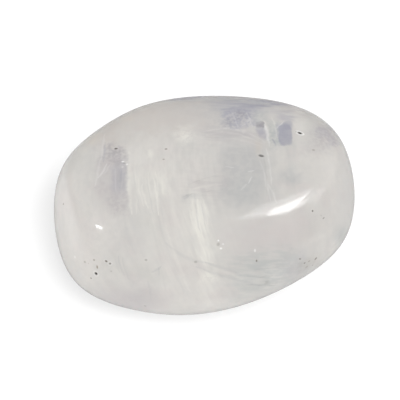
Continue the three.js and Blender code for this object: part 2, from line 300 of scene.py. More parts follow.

# Inclusions and pits in the polish, and painted glints: long and short size in mm, lean in degrees, how deep in mm,
# how dark, brown and pale they are from 0 to 1, and how bright the painted highlight ring around them is. The
# pale of the specks named glint is a painted highlight.
Speck = namedtuple("Speck", "place size lean depth dark brown pale ring")
SPECKS = {
    "black pit": Speck((299.8, 133), (0.6, 0.32), -32, 0.07, 1.0, 0, 0, 1.0),
    "black pit's mate": Speck((296, 131.8), (0.22, 0.2), 0, 0.02, 0.3, 0.5, 0, 0.2),
    "long grey pit": Speck((261.2, 155.7), (0.7, 0.42), -22, 0.05, 0.62, 0, 0, 0.05),
    "faint right": Speck((313.5, 150), (0.42, 0.3), 0, 0.01, 0.14, 0.2, 0, 0),
    "left pit": Speck((116, 148.6), (0.42, 0.28), 0, 0.05, 0.6, 0.4, 0, 0.15),
    # Glints are painted highlights: white where a pit or chip catches the light.
    "left glint": Speck((122.9, 161.6), (0.42, 0.2), 5, 0.04, 0, 0, 1.0, 0),
    "left glint low": Speck((127, 164.4), (0.26, 0.3), 0, 0.03, 0, 0, 0.8, 0),
    "left glint shade": Speck((124.2, 163.2), (0.5, 0.14), -8, 0.03, 0.3, 0, 0, 0),
    "left glint tail": Speck((122.5, 167), (0.3, 0.2), 0, 0.02, 0, 0, 0.4, 0),
    "middle speck": Speck((166, 149), (0.36, 0.3), 0, 0.02, 0.22, 0.35, 0, 0.1),
    "middle speck low": Speck((163.6, 159.3), (0.3, 0.22), 0, 0.02, 0.16, 0.3, 0, 0),
    "low left pit": Speck((96, 273.6), (0.4, 0.38), -30, 0.09, 1.0, 0.2, 0, 0.45),
    "low left smear": Speck((97.2, 267), (0.5, 0.2), 85, 0.01, 0, 0.75, 0, 0),
    "low left one": Speck((106.2, 261.2), (0.36, 0.26), -20, 0.04, 0.4, 0.5, 0, 0.2),
    "low left two": Speck((110, 263.6), (0.32, 0.24), 20, 0.04, 0.5, 0.3, 0, 0.4),
    "low left three": Speck((94, 260), (0.3, 0.24), 0, 0.02, 0.18, 0.4, 0, 0),
    "low left four": Speck((84.8, 262), (0.34, 0.28), 0, 0.02, 0.16, 0.25, 0, 0),
    "low left five": Speck((91, 278.2), (0.3, 0.22), 30, 0.03, 0.3, 0.45, 0, 0.2),
    "low left six": Speck((111.2, 271.2), (0.22, 0.18), 0, 0.02, 0.14, 0.2, 0, 0),
    "low left seven": Speck((88.6, 263.4), (0.16, 0.12), 0, 0.01, 0.18, 0.3, 0, 0),
    "low left pale": Speck((75, 257), (0.42, 0.34), 0, 0.01, 0, 0, 0.45, 0),
    "low one": Speck((146, 260), (0.34, 0.28), 0, 0.02, 0.22, 0.1, 0, 0.1),
    "low two": Speck((195.6, 262), (0.42, 0.32), 0, 0.02, 0.2, 0.1, 0, 0),
    "foot speck": Speck((145, 306), (0.34, 0.26), 0, 0.02, 0.28, 0.2, 0, 0),
    "limb speck": Speck((63.3, 204), (0.26, 0.26), 0, 0.02, 0.16, 0.6, 0, 0),
    "right speck": Speck((312.6, 211), (0.26, 0.26), 0, 0.05, 0.65, 0.2, 0, 0.15),
    "right speck two": Speck((323.6, 218.2), (0.4, 0.2), 25, 0.03, 0.3, 0.2, 0, 0.1),
    "right speck three": Speck((321, 215.5), (0.3, 0.14), -40, 0.01, 0.14, 0.1, 0, 0),
    # More painted highlights: the glints of a pitted patch.
    "middle glint": Speck((218.4, 240.5), (0.24, 0.24), 0, 0.04, 0, 0, 1.0, 0),
    "middle glint low": Speck((221, 248.4), (0.34, 0.26), 0, 0.04, 0, 0, 1.0, 0),
    "middle glint shade": Speck((218.2, 244.4), (0.5, 0.42), 60, 0.03, 0.14, 0.1, 0, 0),
    "middle glint side": Speck((223.2, 244), (0.26, 0.24), 0, 0.02, 0, 0, 0.5, 0),
    "brown low": Speck((256.6, 260.8), (0.22, 0.3), 0, 0.03, 0.36, 0.4, 0, 0),
    "pale low": Speck((255, 250.5), (0.26, 0.42), 0, 0.01, 0, 0, 0.6, 0),
    "corner one": Speck((300, 259), (0.4, 0.26), -35, 0.03, 0.28, 0.25, 0, 0),
    "corner two": Speck((304.6, 263.2), (0.3, 0.22), 20, 0.04, 0.4, 0.4, 0, 0.1),
    "corner three": Speck((315.7, 258.8), (0.42, 0.28), 40, 0.05, 0.5, 0.45, 0, 0.1),
    "corner four": Speck((309, 261.3), (0.3, 0.2), 15, 0.02, 0.2, 0.35, 0, 0),
    "corner five": Speck((306.5, 267), (0.5, 0.2), 25, 0.01, 0.05, 0.45, 0, 0),
    "corner six": Speck((312.5, 265.3), (0.26, 0.2), 25, 0.01, 0.16, 0.4, 0, 0),
    "back pit": Speck(Toward(96, 26), (0.42, 0.26), 20, 0.06, 0.9, 0, 0, 0.4),
    "back one": Speck(Toward(82, 8), (0.34, 0.26), -15, 0.03, 0.4, 0.4, 0, 0.1),
    "back two": Speck(Toward(120, 12), (0.3, 0.24), 30, 0.03, 0.5, 0.2, 0, 0.1),
    "back three": Speck(Toward(122, 8), (0.22, 0.2), 0, 0.02, 0.3, 0.4, 0, 0),
    "back four": Speck(Toward(64, -8), (0.36, 0.24), 10, 0.03, 0.5, 0.4, 0, 0.1),
    # A painted highlight on the back.
    "back glint": Speck(Toward(104, 2), (0.32, 0.24), 0, 0.04, 0, 0, 0.9, 0),
    "back five": Speck(Toward(140, -12), (0.34, 0.28), 0, 0.03, 0.4, 0.4, 0, 0.1),
    "left end one": Speck(Toward(178, 2), (0.3, 0.26), 0, 0.03, 0.5, 0.3, 0, 0.1),
    "left end two": Speck(Toward(184, -4), (0.22, 0.2), 0, 0.02, 0.3, 0.4, 0, 0),
    "right end one": Speck(Toward(6, -6), (0.34, 0.22), 40, 0.03, 0.5, 0.3, 0, 0.1),
    "right end two": Speck(Toward(12, 2), (0.24, 0.2), 0, 0.02, 0.3, 0.3, 0, 0),
    "front foot one": Speck(Toward(-84, -22), (0.34, 0.26), 0, 0.03, 0.4, 0.4, 0, 0.1),
    "front foot two": Speck(Toward(-108, -14), (0.26, 0.2), 0, 0.02, 0.3, 0.4, 0, 0),
    "underside pit": Speck(Toward(150, -58), (0.42, 0.3), 25, 0.07, 0.9, 0.1, 0, 0.4),
    "underside one": Speck(Toward(30, -56), (0.32, 0.26), 0, 0.03, 0.4, 0.4, 0, 0),
}


def paint(red, green, blue):
    """A screen colour, 0 to 255 each, as the linear colour that shaders take."""
    return tuple(
        value / 12.92 if value <= 0.04045 else ((value + 0.055) / 1.055) ** 2.4
        for value in (red / 255, green / 255, blue / 255)
    )


def colour_property(name, description, default):
    return bpy.props.FloatVectorProperty(
        name=name, description=description, subtype="COLOR", size=3, min=0, max=1, default=default
    )


def strength_property(name, description, default):
    return bpy.props.FloatProperty(name=name, description=description, min=0, default=default)


def length_property(name, description, default):
    return bpy.props.FloatProperty(
        name=name, description=description, unit="LENGTH", subtype="DISTANCE", min=0, default=default
    )


class MoonstoneSettings(bpy.types.PropertyGroup):
    """The stone's form, finish and colours."""

    pebble_length: length_property(
        "Pebble length", "Length of the plain pebble that the faces are worn from", 39.6 * MM
    )
    pebble_width: length_property("Pebble width", "Width of the plain pebble", 31.2 * MM)
    pebble_height: length_property("Pebble height", "Height of the plain pebble", 20 * MM)
    pebble_share: bpy.props.FloatProperty(
        name="Pebble share",
        description="How much of the plain pebble's even swell the worn faces keep",
        subtype="FACTOR", min=0, max=1, default=0.3,
    )
    rim_sharpness: bpy.props.FloatProperty(
        name="Rim sharpness", description="Higher is a tighter rim between two worn faces", min=2, default=9
    )
    rest_depth: length_property("Rest depth", "How deep the flat resting spot is worn", 0.25 * MM)
    waviness: length_property("Waviness", "Height of the slight waves that tumbling leaves", 0.02 * MM)
    wave_length: length_property("Wave length", "Distance between the slight waves", 6 * MM)
    roughness: bpy.props.FloatProperty(
        name="Roughness", description="Roughness of the polish", subtype="FACTOR", min=0, max=1, default=0.09
    )
    refraction: bpy.props.FloatProperty(
        name="Refraction", description="Index of refraction of moonstone", min=1, default=1.52
    )
    milkiness: bpy.props.FloatProperty(
        name="Milkiness", description="Share of the light that scatters under the surface",
        subtype="FACTOR", min=0, max=1, default=0.6,
    )
    scatter_depth: length_property("Scatter depth", "How far light spreads under the surface", 3 * MM)
    body: colour_property("Body", "The milky body of the stone", paint(205, 203, 199))
    cloud: colour_property("Cloud", "The warmer clouds in the body", paint(211, 208, 204))
    # Light also paints the table's reflection along the left limb and, in part, over the belly.
    light: colour_property("Light", "The lightest soft zones", paint(221, 217, 213))
    warm: colour_property("Warm", "The warm grey near the top", paint(199, 192, 187))
    rosy: colour_property("Rosy", "The rosy grey patches", paint(204, 198, 196))
    cream: colour_property("Cream", "The cream fibres", paint(232, 230, 223))
    # White is also the painted highlight of the glints and of the rings around pits.
    white: colour_property("White", "Bright crack faces", paint(240, 239, 238))
    blue: colour_property("Blue", "The blue-grey windows", paint(172, 171, 181))
    deep: colour_property("Deep", "The clearest windows, which show dark", paint(160, 160, 173))
    smoke: colour_property("Smoke", "The smoky parts of the windows", paint(156, 153, 157))
    # Violet also paints the shade along the lower rim.
    violet: colour_property("Violet", "The violet-grey haze", paint(188, 183, 184))
    grey: colour_property("Grey", "The clearer grey zones", paint(182, 182, 183))
    green: colour_property("Green", "The greenish grey zones", paint(183, 186, 185))
    peach: colour_property("Peach", "The faint peach stain", paint(212, 201, 186))
    dark: colour_property("Dark", "Shaded crack faces", paint(90, 90, 92))
    speck: colour_property("Speck", "The dark inclusions", paint(22, 20, 18))
    brown: colour_property("Brown", "The brown inclusions", paint(128, 110, 84))


class MoonstoneStageSettings(bpy.types.PropertyGroup):
    """The white table, the lights and the camera."""

    table: colour_property("Table", "The white table", (0.2, 0.2, 0.2))
    glow: strength_property("Glow", "Light that the table gives off by itself", 0.66)
    mirrored_glow: strength_property("Mirrored glow", "The table's glow as the polish mirrors it", 0.05)
    left_patch_glow: strength_property("Left patch glow", "Added glow of the left patch as mirrored", 0.6)
    front_patch_glow: strength_property("Front patch glow", "Added glow of the front patch as mirrored", 0.1)
    back_dimming: strength_property("Back dimming", "How much dimmer the table's back is mirrored", 0.2)
    sky: strength_property("Sky", "Strength of the even white light all round", 0.885)
    left_lean: strength_property("Left lean", "How much stronger the light from the left is", 0.15)
    front_lean: strength_property("Front lean", "How much stronger the light from the front is", 0.1)
    mirrored_room: strength_property("Mirrored room", "The room above as the polish mirrors it", 0.5)
    backdrop: strength_property("Backdrop", "The room as the camera sees it", 1.1)
    key_brightness: strength_property("Softbox", "Radiance of the right softbox", 7.0)
    foot_brightness: strength_property("Softbox foot", "Radiance added by its lower corner", 4.0)
    fade_brightness: strength_property("Softbox edge", "Radiance added by its soft edge", 2.6)
    far_fade_brightness: strength_property("Softbox ends", "Radiance added by its dim ends", 1.4)
    glint_brightness: strength_property("Glint light", "Radiance of the small left light", 20)
    table_light_brightness: strength_property("Table light", "Radiance of the light on the table alone", 44)
    table_side: length_property("Table side", "Side of the square table", 3.0)


class Seat:
    """Turns unit directions into points of the stone's surface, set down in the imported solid's box."""

    def __init__(self, settings, directions):
        self.settings = settings
        self.normals = np.array([facing(face) for face in WORN_FACES.values()])
        self.reaches = np.array([face.reach * MM for face in WORN_FACES.values()])
        points = self.worn(directions)
        self.floor = points[:, 2].min() + settings.rest_depth
        low, high = points.min(0), points.max(0)
        self.shift = np.array([MIDDLE.x - (low[0] + high[0]) / 2, MIDDLE.y - (low[1] + high[1]) / 2, LOW.z - self.floor])

    def worn(self, directions):
        """The worn pebble's surface around its own middle."""
        nearness = np.maximum(directions @ self.normals.T, 0) / self.reaches * MM
        faces = MM * (nearness ** self.settings.rim_sharpness).sum(1) ** (-1 / self.settings.rim_sharpness)
        turn = math.radians(PEBBLE_TURN)
        along = directions[:, 0] * math.cos(turn) + directions[:, 1] * math.sin(turn)
        across = directions[:, 1] * math.cos(turn) - directions[:, 0] * math.sin(turn)
        own = np.stack([along, across, directions[:, 2]], 1)
        size = np.array([self.settings.pebble_length, self.settings.pebble_width, self.settings.pebble_height])
        pebble = 0.5 / np.linalg.norm(own / size, axis=1)
        share = self.settings.pebble_share
        return directions * (faces * (1 - share) + pebble * share)[:, None]

    def place(self, directions):
        """The finished surface in the row frame: waves, the flat resting spot and the shift to its place."""
        points = self.worn(directions)
        waves = [noise.noise(Vector(point) / self.settings.wave_length) for point in points]
        points = points + directions * (np.array(waves) * self.settings.waviness)[:, None]
        points[:, 2] = np.maximum(points[:, 2], self.floor)
        return points + self.shift


def unit_ball():
    ball = bmesh.new()
    bmesh.ops.create_icosphere(ball, subdivisions=BALL_SPLITS, radius=1)
    return ball


def directions_of(ball):
    points = np.array([vertex.co for vertex in ball.verts])
    return points / np.linalg.norm(points, axis=1)[:, None]


def camera_place():
    """Where the camera stands and what it looks at, so that the stone's middle falls on its pixel."""
    aside = (PICTURE_SIDE / 2 - MIDDLE_PIXEL[0]) * PIXEL
    above = (MIDDLE_PIXEL[1] - PICTURE_SIDE / 2) * PIXEL
    target = MIDDLE + RIGHT * aside + UPWARD * above
    return target + TOWARD * VIEW_DISTANCE, target


def look_through(pixel):
    """The camera's place and the direction from it through a pixel of the picture."""
    eye, target = camera_place()
    across = (pixel[0] - PICTURE_SIDE / 2) * PIXEL
    up = (PICTURE_SIDE / 2 - pixel[1]) * PIXEL
    return eye, (target + RIGHT * across + UPWARD * up - eye).normalized()


def facing(toward):
    """The unit vector that a turn and a tilt in degrees point along."""
    turn, tilt = math.radians(toward.turn), math.radians(toward.tilt)
    return Vector((math.cos(turn) * math.cos(tilt), math.sin(turn) * math.cos(tilt), math.sin(tilt)))


def on_stone(surface, place):
    """The point of the stone under a pixel of the picture, or on a side that it doesn't show, and its normal."""
    if isinstance(place, Toward):
        eye = MIDDLE + facing(place) * VIEW_DISTANCE
        along = -facing(place)
    else:
        eye, along = look_through(place)
    point, normal, _, _ = surface.ray_cast(eye, along)
    if point is None:
        raise RuntimeError(f"{place} doesn't fall on the stone")
    return point, normal


def in_grain_frame(point):
    """A point in mm across, up and towards the picture, from the stone's middle."""
    offset = (point - MIDDLE) / MM
    return Vector((offset.dot(RIGHT), offset.dot(UPWARD), offset.dot(TOWARD)))


class SpeckField:
    """Where the specks are on the stone, and what each one does to the surface around it."""

    RING = 1.7
    SLACK = 1.5 * MM

    def __init__(self, surface):
        self.places = []
        for speck in SPECKS.values():
            point, normal = on_stone(surface, speck.place)
            lean = math.radians(speck.lean)
            along = (RIGHT * math.cos(lean) + UPWARD * math.sin(lean)).cross(normal).normalized()
            across = along
            along = normal.cross(across).normalized()
            self.places.append((speck, point, normal, along, across))

    def near(self, point, reach):
        return any((point - place).length < reach + speck.size[0] * MM for speck, place, *_ in self.places)

    def distance(self, entry, points):
        """Distance from a speck's middle for many points, 1 at its outline."""
        speck, place, normal, along, across = entry
        offset = points - np.array(place)
        u = offset @ np.array(along) / (speck.size[0] * MM / 2)
        v = offset @ np.array(across) / (speck.size[1] * MM / 2)
        w = offset @ np.array(normal) / self.SLACK
        return np.sqrt(u * u + v * v + w * w)

    def carve(self, points):
        """Sinks the pits into the surface, and gives each point its share of dark, brown and pale, the pale holding
        the painted highlights too.
        """
        tints = np.zeros((len(points), 4))
        tints[:, 3] = 1
        for entry in self.places:
            speck, _, normal, _, _ = entry
            distance = self.distance(entry, points)
            bowl = np.clip(1 - distance ** 2, 0, 1)
            core = np.clip((1.15 - distance) / 0.5, 0, 1)
            # The ring is a painted highlight round the pit's rim, and goes into the pale share.
            ring = np.clip(1 - np.abs(distance - self.RING) / 0.6, 0, 1) * speck.ring
            for channel, amount in enumerate((speck.dark, speck.brown, speck.pale)):
                tints[:, channel] = np.maximum(tints[:, channel], core * amount)
            tints[:, 2] = np.maximum(tints[:, 2], ring * (1 - core))
            points = points - np.array(normal) * (bowl * speck.depth * MM)[:, None]
        return points, tints


def refine_near_specks(ball, seat, specks):
    """Splits the ball's triangles finely under each speck, so that the pits are real hollows."""
    for reach, cuts in ((0.45 * MM, 1), (0.3 * MM, 1)):
        points = seat.place(directions_of(ball))
        ball.verts.index_update()
        edges = [
            edge for edge in ball.edges
            if specks.near(Vector(points[edge.verts[0].index] + points[edge.verts[1].index]) / 2, reach)
        ]
        bmesh.ops.subdivide_edges(ball, edges=edges, cuts=cuts, use_grid_fill=True)
        bmesh.ops.triangulate(ball, faces=[face for face in ball.faces if len(face.verts) > 3])


class Nodes:
    """Adds linked nodes to one node tree."""

    def __init__(self, tree):
        self.tree = tree

    def add(self, kind, **settings):
        node = self.tree.nodes.new(kind)
        for name, value in settings.items():
            setattr(node, name, value)
        return node

    def feed(self, socket, value):
        if isinstance(value, bpy.types.NodeSocket):
            self.tree.links.new(value, socket)
        elif socket.type == "RGBA" and len(value) == 3:
            socket.default_value = (*value, 1)
        else:
            socket.default_value = value

    def math(self, operation, *values):
        node = self.add("ShaderNodeMath", operation=operation)
        for socket, value in zip(node.inputs, values):
            self.feed(socket, value)
        return node.outputs[0]

    def vector(self, operation, *values):
        node = self.add("ShaderNodeVectorMath", operation=operation)
        for socket, value in zip(node.inputs, values):
            self.feed(socket, value)
        return node.outputs["Value" if operation in ("DOT_PRODUCT", "LENGTH") else "Vector"]

    def scaled(self, vector, factor):
        node = self.add("ShaderNodeVectorMath", operation="SCALE")
        self.feed(node.inputs[0], vector)
        self.feed(node.inputs["Scale"], factor)
        return node.outputs[0]

    def mix(self, factor, below, above):
        node = self.add("ShaderNodeMix", data_type="RGBA")
        self.feed(node.inputs[0], factor)
        self.feed(node.inputs[6], below)
        self.feed(node.inputs[7], above)
        return node.outputs[2]

    def share(self, value):
        """A value held between 0 and 1."""
        return self.math("MINIMUM", self.math("MAXIMUM", value, 0.0), 1.0)

    def smooth(self, value, start, end):
        """0 at start and 1 at end, with a smooth step between them."""
        node = self.add("ShaderNodeMapRange", interpolation_type="SMOOTHSTEP", clamp=False)
        self.feed(node.inputs["Value"], value)
        self.feed(node.inputs["From Min"], start)
        self.feed(node.inputs["From Max"], end)
        return node.outputs[0]

    def noise(self, vector, scale, detail, output="Fac", distortion=0.0):
        node = self.add("ShaderNodeTexNoise")
        self.feed(node.inputs["Vector"], vector)
        node.inputs["Scale"].default_value = scale
        node.inputs["Detail"].default_value = detail
        node.inputs["Distortion"].default_value = distortion
        return node.outputs[output]

    def split(self, vector):
        node = self.add("ShaderNodeSeparateXYZ")
        self.feed(node.inputs[0], vector)
        return node.outputs

    def join(self, x, y, z):
        node = self.add("ShaderNodeCombineXYZ")
        for socket, value in zip(node.inputs, (x, y, z)):
            self.feed(socket, value)
        return node.outputs[0]

    def turned(self, vector, angle):
        """A vector turned about its third axis."""
        node = self.add("ShaderNodeVectorRotate", rotation_type="Z_AXIS")
        self.feed(node.inputs["Vector"], vector)
        self.feed(node.inputs["Angle"], angle)
        return node.outputs[0]

    def group(self, tree, label, **values):
        node = self.add("ShaderNodeGroup", node_tree=tree, label=label)
        for name, value in values.items():
            self.feed(node.inputs[name.replace("_", " ").title()], value)
        return node.outputs


def new_group(name, inputs, outputs):
    """An empty shader node group with named sockets, and its input and output nodes."""
    tree = bpy.data.node_groups.new(name, "ShaderNodeTree")
    for title, kind in inputs:
        tree.interface.new_socket(title, in_out="INPUT", socket_type=kind)
    for title, kind in outputs:
        tree.interface.new_socket(title, in_out="OUTPUT", socket_type=kind)
    return tree, tree.nodes.new("NodeGroupInput").outputs, tree.nodes.new("NodeGroupOutput").inputs


def zone_group():
    """Tints a soft slanting block inside the stone, broken up by a texture."""
    tree, given, result = new_group(
        "Cleavage Zone",
        [("Colour", "NodeSocketColor"), ("Tint", "NodeSocketColor"), ("Vector", "NodeSocketVector"),
         ("Warp", "NodeSocketVector"), ("Texture", "NodeSocketFloat"),
         ("Centre", "NodeSocketVector"), ("Half Size", "NodeSocketVector"), ("Lean", "NodeSocketFloat"),
         ("Softness", "NodeSocketFloat"), ("Ragged", "NodeSocketFloat"), ("Fade", "NodeSocketVector"),
         ("Strength", "NodeSocketFloat")],
        [("Colour", "NodeSocketColor")],
    )
    n = Nodes(tree)
    warped = n.vector("ADD", given["Vector"], n.scaled(given["Warp"], given["Ragged"]))
    local = n.vector("SUBTRACT", warped, given["Centre"])
    cosine, sine = n.math("COSINE", given["Lean"]), n.math("SINE", given["Lean"])
    wide, high, deep = n.split(given["Half Size"])
    across = n.join(n.math("DIVIDE", cosine, wide), n.math("DIVIDE", n.math("MULTIPLY", sine, -1.0), wide), 0.0)
    upward = n.join(n.math("DIVIDE", sine, high), n.math("DIVIDE", cosine, high), 0.0)
    inward = n.join(0.0, 0.0, n.math("DIVIDE", 1.0, deep))
    x, y, z = (n.vector("DOT_PRODUCT", local, axis) for axis in (across, upward, inward))
    corners = n.math("ADD", n.math("POWER", n.math("ABSOLUTE", x), 4.0), n.math("POWER", n.math("ABSOLUTE", y), 4.0))
    corners = n.math("ADD", corners, n.math("POWER", n.math("ABSOLUTE", z), 4.0))
    distance = n.math("POWER", corners, 0.25)
    block = n.smooth(
        distance, n.math("ADD", 1.0, given["Softness"]), n.math("SUBTRACT", 1.0, given["Softness"])
    )
    fade_across, fade_up, _ = n.split(given["Fade"])
    thinning = n.math("ADD", n.math("MULTIPLY", x, fade_across), n.math("MULTIPLY", y, fade_up))
    thinning = n.math("MULTIPLY", n.math("ADD", thinning, n.vector("LENGTH", given["Fade"])), 0.5)
    left = n.share(n.math("SUBTRACT", 1.0, thinning))
    mask = n.math("MULTIPLY", n.math("MULTIPLY", block, left), given["Texture"])
    mask = n.math("MULTIPLY", mask, given["Strength"])
    n.feed(result["Colour"], n.mix(mask, given["Colour"], given["Tint"]))
    return tree


def line_group():
    """Tints a thin soft line that bows between two points and gets thinner towards them."""
    tree, given, result = new_group(
        "Feather Line",
        [("Colour", "NodeSocketColor"), ("Tint", "NodeSocketColor"), ("Vector", "NodeSocketVector"),
         ("Warp", "NodeSocketVector"), ("Start", "NodeSocketVector"),
         ("End", "NodeSocketVector"), ("Bend", "NodeSocketFloat"), ("Width", "NodeSocketFloat"),
         ("Texture", "NodeSocketFloat"), ("Strength", "NodeSocketFloat")],
        [("Colour", "NodeSocketColor")],
    )
    n = Nodes(tree)
    flat = (1.0, 1.0, 0.06)
    warped = n.vector("ADD", given["Vector"], n.scaled(given["Warp"], 0.09))
    offset = n.vector("MULTIPLY", n.vector("SUBTRACT", warped, given["Start"]), flat)
    span = n.vector("MULTIPLY", n.vector("SUBTRACT", given["End"], given["Start"]), flat)
    share = n.math("DIVIDE", n.vector("DOT_PRODUCT", offset, span), n.vector("DOT_PRODUCT", span, span))
    share = n.share(share)
    arch = n.math("MULTIPLY", n.math("MULTIPLY", share, n.math("SUBTRACT", 1.0, share)), 4.0)
    side = n.vector("NORMALIZE", n.vector("CROSS_PRODUCT", (0.0, 0.0, 1.0), span))
    middle = n.vector("ADD", n.scaled(span, share), n.scaled(side, n.math("MULTIPLY", arch, given["Bend"])))
    away = n.vector("LENGTH", n.vector("SUBTRACT", offset, middle))
    width = n.math("MULTIPLY", given["Width"], n.math("ADD", 0.4, n.math("MULTIPLY", arch, 0.6)))
    line = n.math("MULTIPLY", n.smooth(away, width, 0.0), given["Texture"])
    mask = n.math("MULTIPLY", line, given["Strength"])
    n.feed(result["Colour"], n.mix(mask, given["Colour"], given["Tint"]))
    return tree


def grain_vector(n):
    """The shading point in mm, across, up and towards the picture: the frame of the stone's cleavage."""
    place = n.add("ShaderNodeTexCoord").outputs["Object"]
    offset = n.scaled(n.vector("SUBTRACT", place, tuple(MIDDLE)), 1 / MM)
    return n.join(*(n.vector("DOT_PRODUCT", offset, tuple(axis)) for axis in (RIGHT, UPWARD, TOWARD)))


def fibre_frame(n, vector):
    """The grain frame with its fibres straightened: they hang down and bow to the right as they go."""
    across, up, deep = n.split(vector)
    fall = n.math("MAXIMUM", n.math("SUBTRACT", FIBRE_TOP, up), 0.0)
    bowed = n.math("SUBTRACT", across, n.math("MULTIPLY", n.math("MULTIPLY", fall, fall), FIBRE_BOW))
    return n.join(bowed, n.math("MULTIPLY", up, 0.1), n.math("MULTIPLY", deep, 0.4))


def stone_textures(n, vector):
    """What breaks the zones up, by the number that a zone names: flat, mottled, cellular, fibrous and so on."""
    mottle = n.smooth(n.noise(vector, 1.3, 4.0), 0.36, 0.62)
    cells = n.smooth(n.noise(vector, 2.4, 2.0), 0.36, 0.64)
    fibre = n.smooth(n.noise(fibre_frame(n, vector), 1.9, 3.0), 0.34, 0.66)
    band_frame = n.vector("MULTIPLY", n.turned(vector, math.radians(4)), (0.14, 1.0, 0.4))
    bands = n.smooth(n.noise(band_frame, 2.2, 4.0), 0.38, 0.6)
    ridge = n.math("ABSOLUTE", n.math("SUBTRACT", n.noise(vector, 0.9, 2.0, distortion=0.8), 0.5))
    return {
        FLAT: n.math("ADD", 0.86, n.math("MULTIPLY", mottle, 0.14)),
        MOTTLE: n.math("ADD", 0.55, n.math("MULTIPLY", mottle, 0.45)),
        CELLS: n.math("ADD", 0.4, n.math("MULTIPLY", cells, 0.6)),
        FIBRE: n.math("ADD", 0.4, n.math("MULTIPLY", fibre, 0.6)),
        BANDS: n.math("ADD", 0.35, n.math("MULTIPLY", bands, 0.65)),
        VEINS: n.math("ADD", 0.4, n.math("MULTIPLY", n.smooth(ridge, 0.0, 0.06), 0.6)),
    }


def body_colour(n, vector, textures, settings):
    """The milky body: soft warm and cool clouds with fine hanging fibres in them."""
    clouds = n.smooth(n.noise(n.vector("MULTIPLY", vector, (1.0, 0.7, 0.8)), 0.2, 3.0), 0.35, 0.65)
    colour = n.mix(clouds, settings.body, settings.cloud)
    blush = n.smooth(n.noise(vector, 0.32, 2.0), 0.48, 0.7)
    colour = n.mix(n.math("MULTIPLY", blush, 0.5), colour, settings.rosy)
    veil = n.smooth(n.noise(fibre_frame(n, vector), 0.9, 4.0), 0.35, 0.7)
    colour = n.mix(n.math("MULTIPLY", veil, 0.13), colour, settings.cream)
    return n.mix(n.math("MULTIPLY", n.math("SUBTRACT", 1.0, textures[MOTTLE]), 0.22), colour, settings.grey)


def stone_colour(n, surface, settings):
    """The base colour: the body, then each zone, each line and the specks over it."""
    vector = grain_vector(n)
    warp = n.vector("SUBTRACT", n.noise(vector, 0.9, 3.0, output="Color"), (0.5, 0.5, 0.5))
    warp = n.scaled(warp, 4.0)
    textures = stone_textures(n, vector)
    colour = body_colour(n, vector, textures, settings)
    zones, lines = zone_group(), line_group()
    for name, zone in ZONES.items():
        centre = in_grain_frame(on_stone(surface, zone.place)[0])
        colour = n.group(
            zones, name, colour=colour, tint=getattr(settings, zone.tint), vector=vector, warp=warp,
            texture=textures[zone.grain], centre=tuple(centre), half_size=zone.half,
            lean=math.radians(zone.lean), softness=zone.soft, ragged=zone.ragged, fade=(*zone.fade, 0),
            strength=zone.strength,
        )["Colour"]
    for name, line in LINES.items():
        start, end = (in_grain_frame(on_stone(surface, pixel)[0]) for pixel in (line.start, line.end))
        colour = n.group(
            lines, name, colour=colour, tint=getattr(settings, line.tint), vector=vector, warp=warp,
            start=tuple(start), end=tuple(end), bend=line.bend, width=line.width, texture=textures[MOTTLE],
            strength=line.strength,
        )["Colour"]
    tints = n.add("ShaderNodeSeparateColor")
    n.feed(tints.inputs[0], n.add("ShaderNodeAttribute", attribute_name="speck").outputs["Color"])
    # Blue holds the pale specks together with the painted glints and painted highlight rings, all in the white
    # colour.
    colour = n.mix(tints.outputs["Blue"], colour, settings.white)
    colour = n.mix(tints.outputs["Green"], colour, settings.brown)
    colour = n.mix(tints.outputs["Red"], colour, settings.speck)
    return colour, vector, tints.outputs["Red"]


def moonstone_material(surface, settings):
    """Polished, milky feldspar."""
    material = bpy.data.materials.new("polished moonstone")
    material.use_nodes = True
    n = Nodes(material.node_tree)
    shader = material.node_tree.nodes["Principled BSDF"]
    colour, vector, dark = stone_colour(n, surface, settings)
    n.feed(shader.inputs["Base Color"], colour)
    wear = n.math("MULTIPLY", n.smooth(n.noise(vector, 0.7, 3.0), 0.35, 0.75), 0.04)
    rough = n.math("ADD", n.math("ADD", settings.roughness, wear), n.math("MULTIPLY", dark, 0.4))
    n.feed(shader.inputs["Roughness"], rough)
    shader.inputs["IOR"].default_value = settings.refraction
    shader.inputs["Subsurface Weight"].default_value = settings.milkiness
    shader.inputs["Subsurface Radius"].default_value = (1.0, 0.92, 0.85)
    shader.inputs["Subsurface Scale"].default_value = settings.scatter_depth
    bump = n.add("ShaderNodeBump")
    bump.inputs["Strength"].default_value = 0.25
    bump.inputs["Distance"].default_value = 0.008 * MM
    n.feed(bump.inputs["Height"], n.noise(vector, 1.3, 2.0))
    n.feed(shader.inputs["Normal"], bump.outputs[0])
    return material


def surface_of(points, ball):
    return BVHTree.FromPolygons([Vector(p) for p in points], [[v.index for v in f.verts] for f in ball.faces])


class MOONSTONE_OT_stone(bpy.types.Operator):
    """Build the polished stone with its pits, specks and marks"""

    bl_idname = "moonstone.stone"
    bl_label = "Moonstone"

    def execute(self, context):
        settings = context.scene.moonstone
        ball = unit_ball()
        ball.verts.index_update()
        directions = directions_of(ball)
        seat = Seat(settings, directions)
        surface = surface_of(seat.place(directions), ball)
        specks = SpeckField(surface)
        refine_near_specks(ball, seat, specks)
        points, tints = specks.carve(seat.place(directions_of(ball)))
        for vertex, point in zip(ball.verts, points):
            vertex.co = point
        bmesh.ops.recalc_face_normals(ball, faces=ball.faces)
        mesh = bpy.data.meshes.new(STONE)
        ball.to_mesh(mesh)
        ball.free()
        mesh.shade_smooth()
        attribute = mesh.color_attributes.new("speck", "FLOAT_COLOR", "POINT")
        attribute.data.foreach_set("color", tints.ravel())
        mesh.materials.append(moonstone_material(surface, settings))
        stone = bpy.data.objects.new(STONE, mesh)
        context.scene.collection.objects.link(stone)
        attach(stone, BODY)
        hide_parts(NODE)
        return {"FINISHED"}


